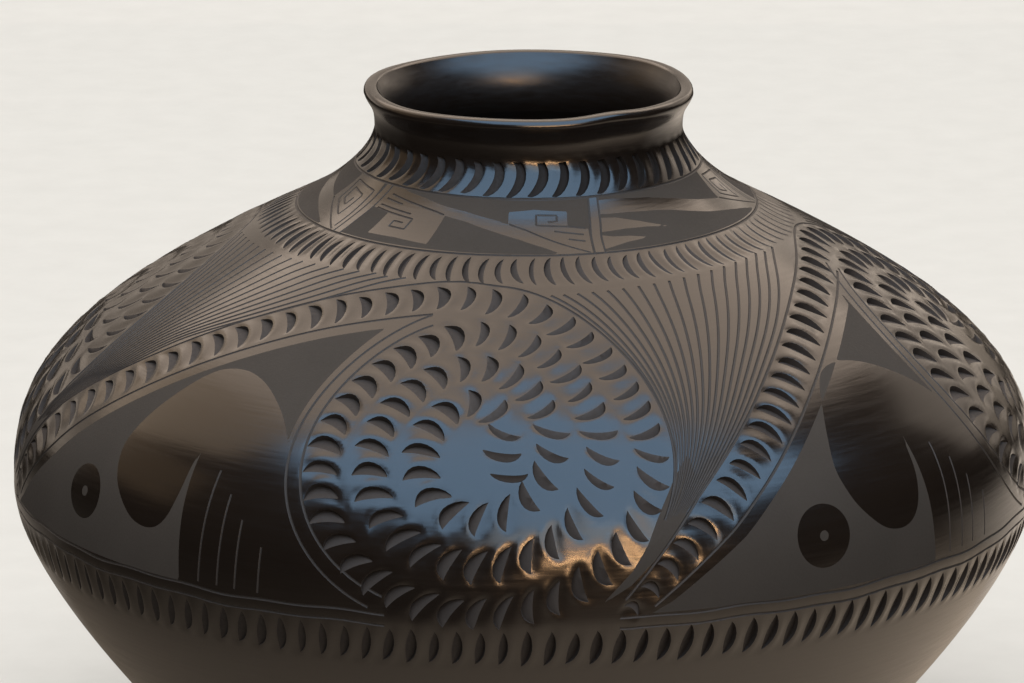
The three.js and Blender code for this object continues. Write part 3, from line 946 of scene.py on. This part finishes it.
incisedLines = {  # mm; a ring or belly line is its length up the wall and its drift
    "radius": 0.5, "thinRadius": 0.42, "thin": ("barLines", "fretKeys", "fretEdges"), "sides": 8,
    "lift": 0.24, "step": 1.4, "keyStep": 0.7, "rings": [(296.7, 0.1), (275.7, 0.2)],
    "bellyLines": [(152.4, 0.5), (149.2, 0.5)], "bellyGap": (-8.5, 16.0), "bellyThin": 3,
    "bars": [(-31.5, 186), (-29, 180), (-26.7, 173.5), (-23.8, 167)],
    "barFoot": 154.0, "barSlant": 0.02, "barPoints": 12,
}
fan = {  # the lines between a medallion and the next rib
    "lines": 18, "top": 264.0, "leave": 240.0, "right": -14.0, "margin": 1.0, "samples": 60, "skip": 6,
    "thin": 8, "bend": 0.65, "bendShift": (-1.0, 0.6), "draw": (1.22, 0.45), "crowd": 0.17,
    "part": 0.5, "partVary": (0.2, 7.3), "widen": (1.2, 0.4), "full": 1.2, "point": 6.0, "pointReach": 0.25,
}


def alongPath(path, share):  # points at shares of a path's length
    run = wallRun(path)
    return np.stack([np.interp(share * run[-1], run, path[:, i]) for i in (0, 1)], -1)


def borderStop(start):  # where the line outside a rib leaves its medallion
    return start + round(medallion["borderEnd"] / 360 * medallion["steps"])


def fanPaths(k):
    m = medallion
    path, start = spirals[k][:2]
    nextPath, nextStart = spirals[(k + 1) % m["repeats"]][:2]
    if k + 1 == m["repeats"]:
        nextPath = nextPath + (360, 0)
    left = sideStep(path, m["ribBorderUp"])[start + fan["skip"]:borderStop(start)][::-1]
    right = sideStep(nextPath, m["ribBorderUp"] * ribTaper(nextPath))[:nextStart]
    right = right[(right[:, 1] > left[0, 1] + fan["margin"]) & (right[:, 1] < fan["leave"])]
    top = np.array([m["angle"] + sector * (k + 1) + fan["right"], fan["top"] + fan["margin"]])
    bend = right[-1] * (1 - fan["bend"]) + top * fan["bend"] + fan["bendShift"]
    right = smoothPath(np.vstack([right[::fan["thin"]], bend, top]))
    share = np.linspace(0, 1, fan["samples"])
    a, b = alongPath(left, share), alongPath(right, share)
    across = radiusAt(a[:, 1]) * np.radians(b[:, 0] - a[:, 0])
    apart = np.hypot(across, b[:, 1] - a[:, 1]) / (fan["lines"] + 1)
    draw = fan["draw"][0] + fan["draw"][1] * (1 - share)  # lines gather at the medallion
    part, widen = fan["part"], fan["widen"]
    lines = []
    for i in range(1, fan["lines"] + 1):
        t = i / (fan["lines"] + 1)
        side = (t ** draw)[:, None]
        line = a * (1 - side) + b * side
        gap = apart * draw * t ** (draw - 1)
        if i % 2:  # every other line stops where they crowd, the rest have its room
            crowd = part * (1 + fan["partVary"][0] * math.sin(fan["partVary"][1] * i))
        else:
            gap = gap * (1 + np.clip((part * widen[0] - gap) / (part * widen[1]), 0, 1))
            crowd = 2 * fan["crowd"]
        keep = (line[:, 1] < fan["top"]) & (gap > crowd)
        line, gap = line[keep], gap[keep]
        point = np.minimum(wallRun(line) / fan["point"], 1) * (1 - fan["pointReach"]) + fan["pointReach"]
        lines.append((line, np.minimum(gap / fan["full"], 1) * point))
    return lines


def drawLines():  # groups of lines, and the shaping of those that thin out
    m, inc = medallion, incisedLines
    names = ("ringLines", "ribLines", "medallionLines", "fanLinesA", "fanLinesB", "fanLinesC", "barLines",
             "bellyLines")  # fans are in three groups, so that no line meets another of its group
    groups = {name: [] for name in names}
    shaping = {name: [] for name in names if name.startswith("fan")}
    groups["ringLines"] = [ringPath(length, wave) for length, wave in inc["rings"]]
    groups["fretKeys"], groups["fretEdges"] = fretLines()
    for k in range(m["repeats"]):
        here = m["angle"] + sector * k
        path, start = spirals[k][:2]
        upper = sideStep(path, m["ribBorderUp"] * ribTaper(path))[:borderStop(start)]
        lower = sideStep(path, m["ribBorderDown"] * ribTaper(path))[:start]
        lower = lower[lower[:, 0] < here + m["ribBorderTip"]]
        groups["ribLines"] += [line[line[:, 1] > m["ribBorderLow"]] for line in (upper, lower)]
        for gap in (0, m["leftBorderGap"]):
            arc = circleArc(k, m["leftBorder"] - gap, *m["leftBorderTurn"], m["leftBorderPinch"])
            groups["medallionLines"].append(arc[arc[:, 1] > m["leftBorderLow"]])
        for i, (line, reach) in enumerate(fanPaths(k)):
            group = "fanLines" + "BCA"[i % 3]
            groups[group].append(line)
            shaping[group].append((0.0, 1.0, reach))
        for length, wave in inc["bellyLines"]:
            line = ringPath(length, wave)
            first, last = here + inc["bellyGap"][1], here + sector + inc["bellyGap"][0]
            line[:, 0] = first + (line[:, 0] + 180) / 360 * (last - first)
            groups["bellyLines"].append(line[::inc["bellyThin"]])
        for angle, top in inc["bars"]:
            length = np.linspace(inc["barFoot"], top, inc["barPoints"])
            slant = inc["barSlant"] * (length - inc["barFoot"])
            groups["barLines"].append(np.stack([fields["angle"] + sector * k + angle + slant, length], -1))
    return groups, shaping


lineGroups, lineShaping = drawLines()
for name, paths in lineGroups.items():
    obj = pathObject(name, paths, lineShaping.get(name), name == "ringLines", incisedLines["lift"], reliefAt)
    step = incisedLines["keyStep" if name == "fretKeys" else "step"]
    radius = incisedLines["thinRadius" if name in incisedLines["thin"] else "radius"]
    runTree(obj, lineTree, {"Step": step * mm, "Radius": radius * mm, "Sides": incisedLines["sides"],
                            "Finish": finishes["incised"]})
    cutters[name] = obj
    print(name, "faces:", len(obj.data.polygons))


# Carve every course, then give it its normals and the wall's own coordinates

carving = {"clear": 1.0, "strokeRadius": 120.0, "sharp": 34.0}  # mm, mm and degrees


def carve(obj, tools):
    for tool in tools:
        modifier = obj.modifiers.new("carve", "BOOLEAN")
        modifier.operation = "DIFFERENCE"
        modifier.solver = "MANIFOLD"
        modifier.material_mode = "TRANSFER"
        modifier.object = tool
    plainResult(obj)


def finishCourse(mesh):
    up = readAll(mesh.uv_layers["lay"].data, "uv", 2)[:, 1].astype(float)
    corner = readAll(mesh.loops, "vertex_index", kind=np.int32)
    kind = readAll(mesh.polygons, "material_index", kind=np.int32)
    total = readAll(mesh.polygons, "loop_total", kind=np.int32)
    outside = (finishSlot["burnished"], finishSlot["scraped"])
    skin = np.isin(np.repeat(kind, total), outside) & (up >= 0)
    place = readAll(mesh.vertices, "co", 3) / mm
    angle = np.degrees(np.arctan2(place[:, 0], -place[:, 1]))
    length = np.interp(place[:, 2], outline[:, 1], outlineLength)
    length[corner[skin]] = up[skin]
    a = np.radians(angle)
    wall = np.stack([carving["strokeRadius"] * np.sin(a), -carving["strokeRadius"] * np.cos(a), length], -1)
    layer = mesh.attributes.new("wall", "FLOAT_VECTOR", "POINT")
    layer.data.foreach_set("vector", wall.astype(np.float32).ravel())
    mesh.polygons.foreach_set("use_smooth", np.ones(len(mesh.polygons), bool))
    mesh.set_sharp_from_angle(angle=math.radians(carving["sharp"]))
    normals = readAll(mesh.corner_normals, "vector", 3)
    normals[skin] = gridSample(outerNormals, angle[corner[skin]], length[corner[skin]])
    mesh.normals_split_custom_set(normals.tolist())


for name, low, high in zip(courses, seams[:-1], seams[1:]):
    piece = courseObject(name)
    bottom, top = outlineAt(low)[1] - carving["clear"], outlineAt(high)[1] + carving["clear"]
    tools = []
    for tool in cutters.values():
        heights = readAll(tool.data.vertices, "co", 3)[:, 2] / mm
        if heights.max() > bottom and heights.min() < top:
            tools.append(tool)
    carve(piece, tools)
    finishCourse(piece.data)
    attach(piece, "root")
    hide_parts(name)
    triangles = sum(len(p.vertices) - 2 for p in piece.data.polygons)
    print(name, "carved with", len(tools), "tools,", triangles, "triangles")
for tool in cutters.values():
    discard(tool)


# Pale floor and soft studio light

studio = {  # m
    "floor": ("#cdcac4", "#d6d3cd"), "radius": 9.0, "sides": 96, "floorLevel": -0.0004, "cardLevel": -0.0002,
    "sky": "#f1f1f0", "skyStrength": 0.82, "fill": 0.34,
    "keyStrength": 3.4, "keyWidth": 70.0, "keyFrom": (-0.05, -0.75, 1.8),
}
plaster = bareClay("limePlaster", studio["floor"], (0.75, 0.9), 4.0)  # trowelled flat: pale, even and dull
turn = np.linspace(0, 2 * math.pi, studio["sides"], endpoint=False)
rim = [(studio["radius"] * math.cos(a), studio["radius"] * math.sin(a), studio["floorLevel"]) for a in turn]
floor = meshObject("studioFloor", rim, [tuple(range(studio["sides"]))], materials=[plaster])
floor.visible_glossy = False  # the polish sees the two cards instead
floor.visible_diffuse = False  # and the clay gets no light from below


def polishCard(name, c):  # warm card on the floor, only the polish sees it, darker away from its middle: painted shade
    material = bareClay(name, (c["colour"], c["colour"]), (0.8, 0.9), 4.0, 0.0)
    tree = material.node_tree
    place = addNode(tree, "ShaderNodeTexCoord").outputs["Object"]
    away = addNode(tree, "ShaderNodeVectorMath", {0: place, 1: c["middle"]}, operation="DISTANCE").outputs[1]
    share = addNode(tree, "ShaderNodeMath", {0: away, 1: c["fade"]}, operation="DIVIDE").outputs[0]
    steep = addNode(tree, "ShaderNodeMath", {0: share, 1: c["steep"]}, operation="POWER").outputs[0]
    lower = addNode(tree, "ShaderNodeMath", {0: steep, 1: 1.0}).outputs[0]
    level = addNode(tree, "ShaderNodeMath", {0: 1.0, 1: lower}, operation="DIVIDE").outputs[0]
    # towards black away from the middle: the card's painted shade
    colour = addNode(tree, "ShaderNodeMix", {0: level, 6: (0, 0, 0, 1), 7: linear(c["colour"])},
                     data_type="RGBA")
    tree.links.new(colour.outputs[2], tree.nodes["Principled BSDF"].inputs["Base Color"])
    x0, y0, x1, y1 = c["reach"]
    corners = [(x, y, studio["cardLevel"]) for x, y in ((x0, y0), (x1, y0), (x1, y1), (x0, y1))]
    card = meshObject(name, corners, [(0, 1, 2, 3)], materials=[material])
    card.visible_camera = False
    card.visible_diffuse = False
    card.visible_shadow = False


# middle, fade and steep set each card's painted shade, its colour falling to black away from the middle
cards = {
    "nearCard": {"colour": "#e9d4bd", "middle": (0.22, -0.12, 0.0), "fade": 0.34, "steep": 4.0,
                 "reach": (-1.5, -1.5, 1.5, 0.14)},
    "backCard": {"colour": "#e9d9c8", "middle": (0.3, 0.4, 0.0), "fade": 0.42, "steep": 3.0,
                 "reach": (-1.5, 0.14, 1.5, 1.2)},
}
for name, card in cards.items():
    polishCard(name, card)

world = bpy.data.worlds.new("studioWorld")
world.use_nodes = True
sky = world.node_tree.nodes["Background"]
sky.inputs["Color"].default_value = linear(studio["sky"])
ray = addNode(world.node_tree, "ShaderNodeLightPath").outputs
seen = addNode(world.node_tree, "ShaderNodeMath", {0: ray["Is Camera Ray"], 1: studio["skyStrength"]},
               operation="MULTIPLY")
level = addNode(world.node_tree, "ShaderNodeMath",
                {0: ray["Is Diffuse Ray"], 1: studio["fill"], 2: seen.outputs[0]}, operation="MULTIPLY_ADD")
world.node_tree.links.new(level.outputs[0], sky.inputs["Strength"])
bpy.context.scene.world = world


def placeLamp(obj, place, aim):
    way = np.array(aim) - np.array(place)
    obj.location = place
    obj.rotation_euler = (math.atan2(math.hypot(way[0], way[1]), -way[2]), 0.0, math.atan2(-way[0], way[1]))
    bpy.context.scene.collection.objects.link(obj)


keyData = bpy.data.lights.new("keyLight", "SUN")
keyData.energy = studio["keyStrength"]
keyData.angle = math.radians(studio["keyWidth"])
key = bpy.data.objects.new("keyLight", keyData)
key.visible_glossy = False
placeLamp(key, studio["keyFrom"], (0.0, 0.0, 0.0))

panels = {  # seen only as reflections in the polish: place, aim and size in m, watts, colour
    "skyPanel": ((0.3, -1.1, 1.45), (0.3, -1.1, 0.0), (2.6, 2.04), 84.0, "#9dc4e9"),
    "backPanel": ((0.03, 0.52, 1.25), (0.03, -0.01, 0.4), (1.74, 1.34), 20.7, "#f4deca"),
    "endPanel": ((-1.24, 0.52, 1.25), (-1.24, -0.01, 0.4), (0.8, 1.34), 5.4, "#ecd0b2"),
    "wallPanel": ((-1.0, 1.4, 0.8), (-1.0, 0.0, 0.2), (3.4, 1.3), 10.0, "#f4e2d0"),
    "sidePanel": ((1.35, 1.6, 0.95), (0.0, 0.1, 0.2), (1.6, 1.0), 5.2, "#f4e2d0"),
    "leftPanel": ((-1.7, 0.35, 0.82), (0.0, 0.1, 0.15), (1.2, 0.7), 1.3, "#ecc79f"),
    "cornerPanel": ((-1.6, 1.6, 0.35), (0.0, 0.0, 0.12), (1.2, 0.5), 0.8, "#f0dcc6"),
    "lowSidePanel": ((1.2, 1.7, 0.35), (0.0, 0.1, 0.12), (1.2, 0.5), 1.1, "#f0dcc6"),
    "palePanel": ((0.45, -1.75, 0.95), (0.0, -0.1, 0.15), (1.5, 0.5), 11.5, "#c4d3df"),
    "glowPanel": ((0.4, -1.45, 0.55), (0.0, -0.1, 0.15), (0.9, 0.24), 1.1, "#e8b486"),
    "warmStrip": ((0.3, -1.2, 0.35), (0.0, -0.1, 0.14), (0.7, 0.04), 6.0, "#ffc78e"),
}
for name, (place, aim, size, watts, colour) in panels.items():
    data = bpy.data.lights.new(name, "AREA")
    data.shape = "RECTANGLE"
    data.size, data.size_y = size
    data.energy = watts
    data.color = linear(colour)[:3]
    obj = bpy.data.objects.new(name, data)
    obj.visible_diffuse = False
    obj.visible_camera = False
    placeLamp(obj, place, aim)
print("stage and lights set")
